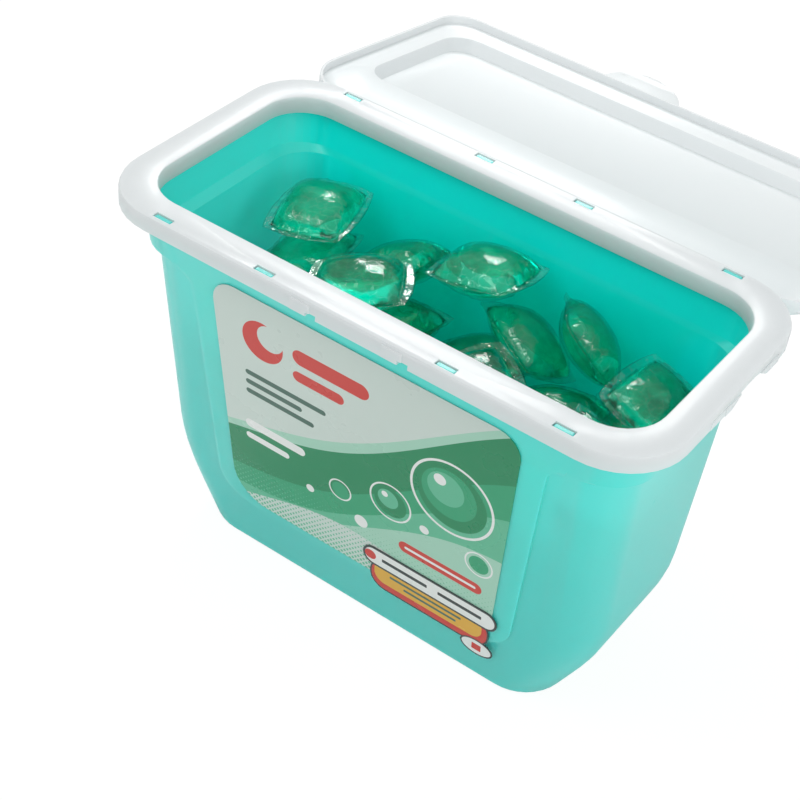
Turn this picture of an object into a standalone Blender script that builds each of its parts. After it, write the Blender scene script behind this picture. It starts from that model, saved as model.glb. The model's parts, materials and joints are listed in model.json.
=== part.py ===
"""Laundry pod tub: a tapered tub, a collar that clips over its rim, a hinged lid, a label, a sticker and the pods.

The tub stands on Z = 0, its long side along X and its front towards -Y. Lengths are in metres.
The lid is drawn closed, on the collar, and then turned about the hinge to where it lies open.
"""
import math
import random

import bmesh
import bpy
from mathutils import Euler, Matrix, Vector
from mathutils.bvhtree import BVHTree

MM = 0.001
FIT = 0.3 * MM

# Tub
TUB_HEIGHT = 143.2 * MM
TUB_WALL = 1.3 * MM
TUB_CORNER = 17.0 * MM
TUB_EDGE = 1.8 * MM
NECK_HALF_LENGTH = 98.6 * MM
NECK_HALF_DEPTH = 46.4 * MM
NECK_HEIGHT = 16.5 * MM
NECK_DRAFT = 1.4 * MM
SHOULDER_STEP = 3.6 * MM
SHOULDER_DROP = 2.2 * MM
SIDE_DRAFT = 0.036
FRONT_DRAFT = 0.12
BACK_DRAFT = 0.045
SLANT_HEIGHT = 31.0 * MM
SLANT_INSET = 14.0 * MM
SLANT_BLEND = 13.0 * MM
RIM_THICKNESS = 1.6 * MM

# Raised panel on the front and the back of the tub
PANEL_PROUD = 0.9 * MM
PANEL_END_MARGIN = 28.6 * MM
PANEL_HALF_WIDTH = NECK_HALF_LENGTH - PANEL_END_MARGIN
PANEL_TAPER = 0.078
PANEL_LENGTH = 99.0 * MM
PANEL_CORNER = 14.0 * MM
PANEL_FLARE = 6.0 * MM

# Collar, by how far it reaches out over the tub's neck and in over its mouth
COLLAR_END_REACH = 7.4 * MM
COLLAR_FRONT_REACH = 8.1 * MM
COLLAR_BACK_REACH = 7.4 * MM
COLLAR_CORNER = 24.0 * MM
COLLAR_HALF_LENGTH = NECK_HALF_LENGTH + COLLAR_END_REACH
COLLAR_FRONT = NECK_HALF_DEPTH + COLLAR_FRONT_REACH
COLLAR_BACK = NECK_HALF_DEPTH + COLLAR_BACK_REACH
MOUTH_END_INSET = 3.6 * MM
MOUTH_SIDE_INSET = 4.1 * MM
MOUTH_CORNER = 16.0 * MM
COLLAR_PLATE = 1.5 * MM
COLLAR_WALL = 1.2 * MM
SKIRT_DEPTH = 6.2 * MM
MOUTH_DEPTH = 6.6 * MM
COLLAR_EDGE = 1.1 * MM

# Lugs on the tub's rim that click into slots in the collar
SLOT_LENGTH = 7.4 * MM
SLOT_WIDTH = 2.6 * MM
SLOT_INSET = 2.9 * MM
FRONT_SLOT_CENTRE = 34.5 * MM
FRONT_SLOT_END_MARGIN = 30.2 * MM
BACK_SLOT_CENTRE = 20.1 * MM
BACK_SLOT_END_MARGIN = 29.2 * MM
LUG_PLAY = 0.35 * MM

# Catches on the collar's skirt
CATCH_CENTRES = (-18.1 * MM, 16.8 * MM)
CATCH_WIDTH = 7.6 * MM
CATCH_PROUD = 0.4 * MM
NOTCH_OFFSET = 4.2 * MM
NOTCH_WIDTH = 3.9 * MM
NOTCH_HEIGHT = 1.8 * MM
SIDE_BAND_PROUD = 0.5 * MM
SIDE_BAND_DROP = 3.0 * MM
SIDE_BAND = (-8.0 * MM, 27.0 * MM)
SIDE_TAB = (-16.7 * MM, -7.0 * MM)
FINGER_CENTRE = 8.0 * MM
FINGER_HALF_WIDTH = 13.0 * MM
FINGER_HEIGHT = 3.6 * MM
FINGER_RAMP = 0.625
FINGER_STEPS = 8

# Lid, as it lies closed, by how far it reaches past the collar
LID_END_REACH = 1.4 * MM
LID_FRONT_REACH = 1.7 * MM
LID_HALF_LENGTH = COLLAR_HALF_LENGTH + LID_END_REACH
LID_FRONT = COLLAR_FRONT + LID_FRONT_REACH
LID_WALL = 1.0 * MM
LID_PLAY = 0.4 * MM
LID_SKIRT = 3.0 * MM
LID_FRONT_CORNER = 12.0 * MM
LID_BACK_CORNER = 25.0 * MM
LID_PANEL_END_MARGIN = 10.0 * MM
LID_PANEL_FRONT_MARGIN = 13.2 * MM
LID_PANEL_BACK_MARGIN = 31.7 * MM
LID_PANEL_RISE = 5.0 * MM
LID_PANEL_DRAFT = 2.4 * MM
LID_PANEL_CORNER = 11.0 * MM
LID_BAND_RISE = 3.2 * MM
LID_BAND_FADE = 14.0 * MM
LID_BAND_STEPS = 3
THUMB_CENTRE = -21.0 * MM
THUMB_HALF_WIDTH = 18.0 * MM
THUMB_REACH = 13.5 * MM
THUMB_DROOP = 3.6 * MM
THUMB_ROUNDNESS = 2.4
THUMB_TIP_SHARE = 0.17
THUMB_STEPS = 7

# Hinge
HINGE_BEHIND = 1.6 * MM
HINGE_BELOW_TOP = 4.0 * MM
HINGE_END_MARGIN = 15.0 * MM
HINGE_HALF_LENGTH = COLLAR_HALF_LENGTH - HINGE_END_MARGIN
HINGE_LIP = 0.6 * MM
OPEN_ANGLE = math.radians(188.4)

# Label and sticker
FILM = 0.25 * MM
FILM_GAP = 0.1 * MM
LABEL_TOP = 18.6 * MM
LABEL_BOTTOM = 120.0 * MM
LABEL_SIDE_MARGIN = 9.0 * MM
LABEL_HALF_WIDTH = PANEL_HALF_WIDTH - LABEL_SIDE_MARGIN
LABEL_TAPER = 0.058
LABEL_TOP_CORNER = 9.0 * MM
LABEL_BOTTOM_CORNER = 15.0 * MM
PILL_FROM_SIDE = 30.7 * MM
PILL_BELOW_TOP = 110.8 * MM
PILL_SIZE = (56.0 * MM, 9.2 * MM)
PATCH_FROM_SIDE = 30.5 * MM
PATCH_BELOW_TOP = 118.8 * MM
PATCH_SIZE = (50.0 * MM, 14.6 * MM)
PATCH_CORNER = 6.5 * MM
SEAL_FROM_SIDE = 10.0 * MM
SEAL_BELOW_TOP = 127.4 * MM
SEAL_SIZE = (13.5 * MM, 8.0 * MM)
SEAL_STEPS = 16

# Pods
POD_COUNT = 52
POD_LENGTH = 37.0 * MM
POD_WIDTH = 33.0 * MM
POD_THICKNESS = 17.5 * MM
POD_GEL = 0.82
POD_SHOULDER = 0.48
POD_HEM = 0.5 * MM
POD_ROUNDING = 0.17
POD_CROWN = 3.0
POD_FALL = 1.5
POD_TRIES = 6
POD_SLIPS = 45
POD_STEP = 2.5 * MM
POD_TIP = 0.12
POD_TILT = 0.25
HEAP_SEED = 12
TOP_COLUMNS = 5
TOP_ROWS = 2

TOP = TUB_HEIGHT + COLLAR_PLATE + FIT
CORNER_STEPS = 9


def clear_scene():
    """Removes the objects that the file opened with."""
    for obj in list(bpy.data.objects):
        bpy.data.objects.remove(obj, do_unlink=True)


def material(name, colour, roughness, alpha=1.0):
    """A Principled material of one colour."""
    mat = bpy.data.materials.new(name)
    mat.use_nodes = True
    shader = mat.node_tree.nodes["Principled BSDF"]
    shader.inputs["Base Color"].default_value = (*colour, 1.0)
    shader.inputs["Roughness"].default_value = roughness
    shader.inputs["Metallic"].default_value = 0.0
    shader.inputs["Alpha"].default_value = alpha
    mat.diffuse_color = (*colour, alpha)
    return mat


def add_object(name, mesh, mat=None):
    """Links a mesh as a named object, shaded smooth up to 40 degrees."""
    obj = bpy.data.objects.new(name, mesh)
    bpy.context.scene.collection.objects.link(obj)
    if mat:
        mesh.materials.append(mat)
    mesh.shade_smooth()
    mesh.set_sharp_from_angle(angle=math.radians(40))
    return obj


def rounded_ring(half_length, front, back, front_corner, back_corner, height):
    """Points of a rounded rectangle, anticlockwise from above, from the back right corner on."""
    corners = (
        (1, back, back_corner, 0.0),
        (-1, back, back_corner, 0.5 * math.pi),
        (-1, -front, front_corner, math.pi),
        (1, -front, front_corner, 1.5 * math.pi),
    )
    points = []
    for side, y, radius, start in corners:
        centre_x = side * (half_length - radius)
        centre_y = y - math.copysign(radius, y)
        for step in range(CORNER_STEPS + 1):
            angle = start + 0.5 * math.pi * step / CORNER_STEPS
            points.append(Vector((
                centre_x + radius * math.cos(angle),
                centre_y + radius * math.sin(angle),
                height,
            )))
    return points


def even_ring(half_length, half_depth, corner, height):
    """A rounded rectangle centred on the tub."""
    return rounded_ring(half_length, half_depth, half_depth, corner, corner, height)


def loft(name, rings, closed=False):
    """A solid through rings of equal count, capped at both ends or closed on itself."""
    bm = bmesh.new()
    loops = [[bm.verts.new(point) for point in ring] for ring in rings]
    pairs = list(zip(loops, loops[1:]))
    if closed:
        pairs.append((loops[-1], loops[0]))
    count = len(loops[0])
    for low, high in pairs:
        for k in range(count):
            bm.faces.new((low[k], low[(k + 1) % count], high[(k + 1) % count], high[k]))
    if not closed:
        bm.faces.new(list(reversed(loops[0])))
        bm.faces.new(loops[-1])
    bmesh.ops.recalc_face_normals(bm, faces=bm.faces)
    mesh = bpy.data.meshes.new(name)
    bm.to_mesh(mesh)
    bm.free()
    return mesh


def slab(name, outline, depth):
    """A flat solid: an outline in X and Z, extruded along +Y by depth."""
    bm = bmesh.new()
    face = bm.faces.new([bm.verts.new((x, 0.0, z)) for x, z in outline])
    extruded = bmesh.ops.extrude_face_region(bm, geom=[face])
    moved = [item for item in extruded["geom"] if isinstance(item, bmesh.types.BMVert)]
    bmesh.ops.translate(bm, verts=moved, vec=(0.0, depth, 0.0))
    bmesh.ops.recalc_face_normals(bm, faces=bm.faces)
    mesh = bpy.data.meshes.new(name)
    bm.to_mesh(mesh)
    bm.free()
    return mesh


def box(name, low, high, bevel=0.0):
    """A block between two corners, with its edges bevelled if asked."""
    bm = bmesh.new()
    bmesh.ops.create_cube(bm, size=1.0)
    size = Vector(high) - Vector(low)
    middle = (Vector(high) + Vector(low)) / 2
    bmesh.ops.scale(bm, vec=size, verts=bm.verts)
    bmesh.ops.translate(bm, vec=middle, verts=bm.verts)
    if bevel:
        bmesh.ops.bevel(bm, geom=bm.edges[:], offset=bevel, segments=1, affect="EDGES")
    mesh = bpy.data.meshes.new(name)
    bm.to_mesh(mesh)
    bm.free()
    return mesh


def tool_object(name, mesh):
    """An object used to cut or to add, left out of the build."""
    obj = add_object(name, mesh)
    obj.hide_render = True
    obj.display_type = "WIRE"
    return obj


def combine(target, tool, operation):
    """Adds a Boolean of one tool to the target."""
    modifier = target.modifiers.new(tool.name, "BOOLEAN")
    modifier.operation = operation
    modifier.solver = "EXACT"
    modifier.object = tool


def arc(centre, radius, start, end, steps):
    """Points of an arc in a plane, angles in degrees."""
    points = []
    for step in range(steps + 1):
        angle = math.radians(start + (end - start) * step / steps)
        points.append((centre[0] + radius * math.cos(angle), centre[1] + radius * math.sin(angle)))
    return points


def smooth(value):
    """Eases 0 to 1."""
    value = min(max(value, 0.0), 1.0)
    return value * value * (3.0 - 2.0 * value)


class TubForm:
    """Half sizes of the tub's inset body and neck by height."""

    shoulder = TOP - NECK_HEIGHT - SKIRT_DEPTH
    neck_foot = shoulder + SHOULDER_DROP / 2
    body_top = shoulder - SHOULDER_DROP / 2

    @classmethod
    def face_depth(cls, side, z):
        """Distance of the raised front (-1) or back (1) from the middle, straight from neck to base."""
        draft = BACK_DRAFT if side > 0 else FRONT_DRAFT
        return NECK_HALF_DEPTH - draft * (TOP - SKIRT_DEPTH - z)

    @classmethod
    def body_length(cls, z):
        """Half length of the body: a drafted end wall that slants in above the base."""
        wall = NECK_HALF_LENGTH - NECK_DRAFT - SHOULDER_STEP - SIDE_DRAFT * (cls.body_top - z)
        slope = SLANT_INSET / SLANT_HEIGHT
        foot = wall - slope * (SLANT_HEIGHT - z)
        if z > SLANT_HEIGHT + SLANT_BLEND:
            return wall
        if z < SLANT_HEIGHT - SLANT_BLEND:
            return foot
        share = (SLANT_HEIGHT + SLANT_BLEND - z) / (2 * SLANT_BLEND)
        return wall - slope * SLANT_BLEND * share * share

    @classmethod
    def inside(cls, z):
        """Half length, front, back and corner radius of the cavity."""
        inset = PANEL_PROUD + TUB_WALL
        return (
            cls.body_length(z) - TUB_WALL, cls.face_depth(-1, z) - inset, cls.face_depth(1, z) - inset,
            TUB_CORNER - TUB_WALL,
        )

    @classmethod
    def neck_ring(cls, half_length, z, inset, height):
        """A ring of the neck with the depths of level z, moved in and drawn at a height."""
        corner = TUB_CORNER - inset
        return rounded_ring(
            half_length - inset, cls.face_depth(-1, z) - inset, cls.face_depth(1, z) - inset,
            corner, corner, height,
        )

    @classmethod
    def body_ring(cls, z, inset):
        """A ring of the inset body."""
        total = PANEL_PROUD + inset
        corner = TUB_CORNER - inset
        return rounded_ring(
            cls.body_length(z) - inset, cls.face_depth(-1, z) - total, cls.face_depth(1, z) - total,
            corner, corner, z,
        )


def at_height(ring, z):
    """The ring moved to a height."""
    return [Vector((point.x, point.y, z)) for point in ring]


def tub_rings():
    """The tub's skin from under the base, up the outside, over the rim and down the inside."""
    form = TubForm
    edge = TUB_EDGE
    rings = []
    for turn in (0, 30, 60, 90):
        angle = math.radians(turn)
        rings.append(form.body_ring(edge * (1 - math.cos(angle)), edge * (1 - math.sin(angle))))
    blend = [SLANT_HEIGHT + SLANT_BLEND * step / 2 for step in (-2, -1, 0, 1, 2)]
    for z in (*blend, form.body_top):
        rings.append(form.body_ring(z, 0.0))
    under_rim = TUB_HEIGHT - RIM_THICKNESS
    foot_length = NECK_HALF_LENGTH - NECK_DRAFT
    rings.append(form.neck_ring(foot_length, form.neck_foot, 0.0, form.neck_foot))
    rings.append(form.neck_ring(NECK_HALF_LENGTH, under_rim, 0.0, under_rim))
    rings.append(collar_ring(COLLAR_WALL + FIT, under_rim))
    rings.append(collar_ring(COLLAR_WALL + FIT, TUB_HEIGHT))
    rings.append(form.neck_ring(NECK_HALF_LENGTH, under_rim, TUB_WALL, TUB_HEIGHT))
    rings.append(form.neck_ring(foot_length, form.neck_foot, TUB_WALL, form.neck_foot + TUB_WALL))
    rings.append(at_height(form.body_ring(form.body_top, TUB_WALL), form.body_top + TUB_WALL))
    for z in reversed(blend):
        rings.append(form.body_ring(z, TUB_WALL))
    rings.append(form.body_ring(edge + TUB_WALL, TUB_WALL))
    rings.append(at_height(form.body_ring(edge + TUB_WALL, TUB_WALL + edge), TUB_WALL))
    return rings


def panel_outline():
    """Outline of the raised panel: tapered, round below, flared into the shoulder above."""
    top = TubForm.neck_foot
    bottom = TubForm.body_top - PANEL_LENGTH

    def half_width(z):
        return PANEL_HALF_WIDTH - PANEL_TAPER * (TubForm.body_top - z)

    flare_z = TubForm.body_top - PANEL_FLARE
    right = [(half_width(top) + PANEL_FLARE, top)]
    right += arc((half_width(flare_z) + PANEL_FLARE, flare_z), PANEL_FLARE, 90, 180, 4)
    corner_z = bottom + PANEL_CORNER
    right += arc((half_width(corner_z) - PANEL_CORNER, corner_z), PANEL_CORNER, 0, -90, 6)
    left = [(-x, z) for x, z in reversed(right)]
    return right + left


def drafted(mesh, side, proud):
    """Places a slab drawn in X and Z on the tub's raised face, proud of it by a distance."""
    for vert in mesh.vertices:
        x, y, z = vert.co
        depth = TubForm.face_depth(side, z) + proud - y
        vert.co = (x * -side, side * depth, z)
    return mesh


def build_tub(mat):
    """The tub with its raised panels and the lugs on its rim."""
    tub = add_object("tub", loft("tub", tub_rings()), mat)
    for side, word in ((-1, "front"), (1, "back")):
        mesh = slab(word + "_panel", panel_outline(), PANEL_PROUD + TUB_WALL / 2)
        combine(tub, tool_object(word + "_panel", drafted(mesh, side, 0.0)), "UNION")
    lug_half_length = SLOT_LENGTH / 2 - LUG_PLAY
    lug_half_width = SLOT_WIDTH / 2 - LUG_PLAY
    for number, (x, y) in enumerate(slot_places()):
        mesh = box(
            "lug", (x - lug_half_length, y - lug_half_width, TUB_HEIGHT - RIM_THICKNESS / 2),
            (x + lug_half_length, y + lug_half_width, TOP - FIT), FIT,
        )
        combine(tub, tool_object("lug_%d" % number, mesh), "UNION")
    return tub


def slot_places():
    """Centres of the collar's slots."""
    rows = (
        (SLOT_INSET - COLLAR_FRONT, FRONT_SLOT_CENTRE, FRONT_SLOT_END_MARGIN),
        (COLLAR_BACK - SLOT_INSET, BACK_SLOT_CENTRE, BACK_SLOT_END_MARGIN),
    )
    places = []
    for y, centre, margin in rows:
        for x in (centre, COLLAR_HALF_LENGTH - margin):
            places += [(-x, y), (x, y)]
    return places


def collar_ring(inset, z):
    """The collar's outer outline, moved in by a distance."""
    return rounded_ring(
        COLLAR_HALF_LENGTH - inset, COLLAR_FRONT - inset, COLLAR_BACK - inset,
        COLLAR_CORNER - inset, COLLAR_CORNER - inset, z,
    )


def mouth_ring(outset, z):
    """The mouth's outline, moved out by a distance."""
    half_length = NECK_HALF_LENGTH - MOUTH_END_INSET + outset
    half_depth = NECK_HALF_DEPTH - MOUTH_SIDE_INSET + outset
    return even_ring(half_length, half_depth, MOUTH_CORNER + outset, z)


def collar_rings():
    """The collar's skin, round its section."""
    edge = COLLAR_EDGE
    soft = edge * (1 - math.sqrt(0.5))
    return [
        mouth_ring(0.0, TOP - MOUTH_DEPTH),
        mouth_ring(0.0, TOP - edge),
        mouth_ring(soft, TOP - soft),
        mouth_ring(edge, TOP),
        collar_ring(edge, TOP),
        collar_ring(soft, TOP - soft),
        collar_ring(0.0, TOP - edge),
        collar_ring(0.0, TOP - SKIRT_DEPTH),
        collar_ring(COLLAR_WALL, TOP - SKIRT_DEPTH),
        collar_ring(COLLAR_WALL, TOP - COLLAR_PLATE),
        mouth_ring(COLLAR_WALL, TOP - COLLAR_PLATE),
        mouth_ring(COLLAR_WALL, TOP - MOUTH_DEPTH),
    ]


def build_collar(mat):
    """The collar with its slots, catches, side bands and the hinge's fixed lip."""
    collar = add_object("collar", loft("collar", collar_rings(), closed=True), mat)
    skirt_foot = TOP - SKIRT_DEPTH
    front_face = -COLLAR_FRONT
    for number, x in enumerate(CATCH_CENTRES):
        catch = box(
            "catch", (x - CATCH_WIDTH / 2, front_face - CATCH_PROUD, skirt_foot + FIT),
            (x + CATCH_WIDTH / 2, front_face + COLLAR_WALL / 2, TOP - COLLAR_EDGE - FIT),
        )
        combine(collar, tool_object("catch_%d" % number, catch), "UNION")
        notch_x = x + NOTCH_OFFSET
        notch = box(
            "notch", (notch_x - NOTCH_WIDTH / 2, front_face - COLLAR_WALL, skirt_foot - NOTCH_HEIGHT),
            (notch_x + NOTCH_WIDTH / 2, front_face + 2 * COLLAR_WALL, skirt_foot + NOTCH_HEIGHT),
        )
        combine(collar, tool_object("notch_%d" % number, notch), "DIFFERENCE")
    for side, word in ((1, "right"), (-1, "left")):
        face = side * COLLAR_HALF_LENGTH
        for part, (start, end), proud in (
            ("band", SIDE_BAND, SIDE_BAND_PROUD), ("tab", SIDE_TAB, SIDE_BAND_PROUD / 2),
        ):
            xs = sorted((face - side * COLLAR_WALL / 2, face + side * proud))
            mesh = box(part, (xs[0], start, skirt_foot + FIT), (xs[1], end, TOP - SIDE_BAND_DROP))
            combine(collar, tool_object("%s_%s" % (word, part), mesh), "UNION")
        arch = [(FINGER_CENTRE + FINGER_HALF_WIDTH, skirt_foot - FINGER_HEIGHT)]
        for step in range(FINGER_STEPS + 1):
            across = 1 - 2 * step / FINGER_STEPS
            climb = smooth((1 - abs(across)) / FINGER_RAMP)
            arch.append((
                FINGER_CENTRE + FINGER_HALF_WIDTH * across, skirt_foot - FIT + (FINGER_HEIGHT + FIT) * climb,
            ))
        arch.append((FINGER_CENTRE - FINGER_HALF_WIDTH, skirt_foot - FINGER_HEIGHT))
        mesh = slab("finger_cut", arch, 4 * COLLAR_WALL)
        mesh.transform(Matrix.Rotation(math.pi / 2, 4, "Z"))
        mesh.transform(Matrix.Translation((face + 2 * COLLAR_WALL, 0.0, 0.0)))
        combine(collar, tool_object(word + "_finger_cut", mesh), "DIFFERENCE")
    for number, (x, y) in enumerate(slot_places()):
        mesh = box(
            "slot", (x - SLOT_LENGTH / 2, y - SLOT_WIDTH / 2, TOP - 2 * COLLAR_PLATE),
            (x + SLOT_LENGTH / 2, y + SLOT_WIDTH / 2, TOP + COLLAR_PLATE),
        )
        combine(collar, tool_object("slot_%d" % number, mesh), "DIFFERENCE")
    axis = hinge_axis()
    lip = box(
        "collar_lip", (-HINGE_HALF_LENGTH, COLLAR_BACK - COLLAR_WALL / 2, axis.z - HINGE_LIP / 2),
        (HINGE_HALF_LENGTH, axis.y - FIT / 2, axis.z + HINGE_LIP / 2),
    )
    combine(collar, tool_object("collar_lip", lip), "UNION")
    return collar


def hinge_axis():
    """A point on the hinge's axis, which runs along X behind the collar."""
    return Vector((0.0, COLLAR_BACK + HINGE_BEHIND, TOP - HINGE_BELOW_TOP))


def lid_ring(inset, z):
    """The closed lid's outer outline, moved in by a distance."""
    back = hinge_axis().y - FIT
    return rounded_ring(
        LID_HALF_LENGTH - inset, LID_FRONT - inset, back - inset,
        LID_FRONT_CORNER - inset, LID_BACK_CORNER - inset, z,
    )


def lid_panel_ring(outset, z):
    """Outline of the lid's raised panel, moved out by a distance."""
    corner = LID_PANEL_CORNER + outset
    return rounded_ring(
        LID_HALF_LENGTH - LID_PANEL_END_MARGIN + outset, LID_FRONT - LID_PANEL_FRONT_MARGIN + outset,
        hinge_axis().y - LID_PANEL_BACK_MARGIN + outset, corner, corner, z,
    )


def banded(ring):
    """The ring with its back part lifted: a band along the hinge that falls to a lip at the panel."""
    band_end = LID_HALF_LENGTH - LID_PANEL_END_MARGIN
    for point in ring:
        share = 1 - (hinge_axis().y - point.y) / LID_PANEL_BACK_MARGIN
        share = min(max(share, 0.0), 1.0)
        fade = smooth((band_end - abs(point.x)) / LID_BAND_FADE + 0.5)
        point.z += LID_BAND_RISE * (1 - (1 - share) ** 2) * fade
    return ring


def lid_plate_rings(outset, inset, z):
    """Rings over the lid's plate, from the panel's edge out to the rim."""
    panel = lid_panel_ring(outset, z)
    edge = lid_ring(inset, z)
    rings = []
    for step in range(LID_BAND_STEPS + 1):
        share = step / LID_BAND_STEPS
        rings.append(banded([near.lerp(far, share) for near, far in zip(panel, edge)]))
    return rings


def lid_rings():
    """The closed lid's skin, from the ceiling inside, round the rim, to the top outside."""
    plate = TOP + LID_PLAY
    rim = plate - LID_SKIRT
    ceiling = plate + LID_PANEL_RISE
    wall = LID_WALL
    draft = LID_PANEL_DRAFT
    return [
        lid_panel_ring(-draft, ceiling),
        *lid_plate_rings(0.0, wall, plate),
        lid_ring(wall, rim),
        lid_ring(0.0, rim),
        banded(lid_ring(0.0, plate)),
        *reversed(lid_plate_rings(wall, wall, plate + wall)),
        lid_panel_ring(wall - draft, ceiling + wall),
    ]


def thumb_rings():
    """The thumb tab: narrowing sections that reach out from the lid's front and droop a little."""
    rings = []
    thickness = LID_WALL
    base_z = TOP + LID_PLAY
    for step in range(THUMB_STEPS + 1):
        reach = step / THUMB_STEPS
        half = THUMB_HALF_WIDTH * max(math.sqrt(1 - reach ** THUMB_ROUNDNESS), THUMB_TIP_SHARE)
        y = -LID_FRONT + LID_WALL / 2 - (THUMB_REACH + LID_WALL / 2) * reach
        z = base_z - THUMB_DROOP * reach ** 1.5
        row = []
        for across in (1.0, 0.5, 0.0, -0.5, -1.0):
            row.append(Vector((THUMB_CENTRE + half * across, y, z)))
        for across in (-1.0, -0.5, 0.0, 0.5, 1.0):
            row.append(Vector((THUMB_CENTRE + half * across, y, z + thickness)))
        rings.append(row)
    return rings


def build_lid(mat):
    """The lid, drawn closed and turned open about the hinge."""
    lid = add_object("lid", loft("lid", lid_rings()), mat)
    axis = hinge_axis()
    rim = TOP + LID_PLAY - LID_SKIRT
    lip = box(
        "lid_lip", (-HINGE_HALF_LENGTH, axis.y - FIT - HINGE_LIP, axis.z + HINGE_LIP / 2 + FIT),
        (HINGE_HALF_LENGTH, axis.y - FIT, rim + LID_WALL),
    )
    tools = [
        tool_object("thumb_tab", loft("thumb_tab", thumb_rings())),
        tool_object("lid_lip", lip),
    ]
    for tool in tools:
        combine(lid, tool, "UNION")
    pivot = bpy.data.objects.new("lid_pivot", None)
    bpy.context.scene.collection.objects.link(pivot)
    pivot.location = axis
    for obj in (lid, *tools):
        obj.data.transform(Matrix.Translation(-axis))
        obj.parent = pivot
    pivot.rotation_euler = (-OPEN_ANGLE, 0.0, 0.0)
    return lid


def label_outline():
    """Outline of the label: tapered like the tub, with wider corners below."""
    def half_width(z):
        return LABEL_HALF_WIDTH - LABEL_TAPER * (TOP - LABEL_TOP - z)

    top = TOP - LABEL_TOP
    bottom = TOP - LABEL_BOTTOM
    upper = top - LABEL_TOP_CORNER
    lower = bottom + LABEL_BOTTOM_CORNER
    right = arc((half_width(upper) - LABEL_TOP_CORNER, upper), LABEL_TOP_CORNER, 90, 0, 6)
    right += arc((half_width(lower) - LABEL_BOTTOM_CORNER, lower), LABEL_BOTTOM_CORNER, 0, -90, 7)
    return right + [(-x, z) for x, z in reversed(right)]


def build_label(mat):
    """The printed label, a thin film on the front panel."""
    mesh = drafted(slab("front_label", label_outline(), FILM), -1, FILM_GAP + FILM)
    return add_object("front_label", mesh, mat)


def rounded_outline(centre, size, corner, steps):
    """A rounded rectangle in X and Z; a corner of half the height makes a pill."""
    x, z = centre
    half_x = size[0] / 2 - corner
    half_z = size[1] / 2 - corner
    points = []
    for side_x, side_z, start in ((1, 1, 0), (-1, 1, 90), (-1, -1, 180), (1, -1, 270)):
        points += arc((x + side_x * half_x, z + side_z * half_z), corner, start, start + 90, steps)
    return points


def build_sticker(mat):
    """The sticker over the label's foot: a pill, a patch under it and a round seal."""
    proud = 2 * (FILM_GAP + FILM)
    pill_centre = (LABEL_HALF_WIDTH - PILL_FROM_SIDE, TOP - PILL_BELOW_TOP)
    pill = rounded_outline(pill_centre, PILL_SIZE, PILL_SIZE[1] / 2 - FIT / 10, 5)
    patch_centre = (LABEL_HALF_WIDTH - PATCH_FROM_SIDE, TOP - PATCH_BELOW_TOP)
    patch = rounded_outline(patch_centre, PATCH_SIZE, PATCH_CORNER, 4)
    seal_x = LABEL_HALF_WIDTH - SEAL_FROM_SIDE
    seal_z = TOP - SEAL_BELOW_TOP
    seal = []
    for step in range(SEAL_STEPS):
        angle = 2 * math.pi * step / SEAL_STEPS
        seal.append((
            seal_x + SEAL_SIZE[0] / 2 * math.cos(angle), seal_z + SEAL_SIZE[1] / 2 * math.sin(angle),
        ))
    sticker = add_object("sticker", drafted(slab("sticker", pill, FILM), -1, proud), mat)
    for word, outline in (("patch", patch), ("seal", seal)):
        tool = tool_object("sticker_" + word, drafted(slab(word, outline, FILM), -1, proud))
        combine(sticker, tool, "UNION")
    return sticker


def pod_mesh(name):
    """A sachet: a gel pillow above and below a film hem that thins to its edge."""
    half = (0.0, POD_SHOULDER, POD_GEL, 1.0)
    lines = [-line for line in reversed(half[1:])] + list(half)
    last = len(lines) - 1
    bm = bmesh.new()
    hem = {}
    for side in (1, -1):
        grid = {}
        for i, u in enumerate(lines):
            for j, v in enumerate(lines):
                pull = 1 - POD_ROUNDING * u * u * v * v
                x = 0.5 * POD_LENGTH * u * pull
                y = 0.5 * POD_WIDTH * v * pull
                if i in (0, last) or j in (0, last):
                    if side > 0:
                        hem[i, j] = bm.verts.new((x, y, 0.0))
                    grid[i, j] = hem[i, j]
                    continue
                corner = (abs(u / POD_GEL) ** POD_CROWN + abs(v / POD_GEL) ** POD_CROWN) / 2
                rise = POD_HEM + (0.5 * POD_THICKNESS - POD_HEM) * (1 - corner ** POD_FALL)
                grid[i, j] = bm.verts.new((x, y, side * rise))
        for i in range(last):
            for j in range(last):
                corners = [grid[i, j], grid[i + 1, j], grid[i + 1, j + 1], grid[i, j + 1]]
                bm.faces.new(corners if side > 0 else corners[::-1])
    bmesh.ops.triangulate(bm, faces=bm.faces)
    bmesh.ops.recalc_face_normals(bm, faces=bm.faces)
    mesh = bpy.data.meshes.new(name)
    bm.to_mesh(mesh)
    bm.free()
    return mesh


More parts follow.
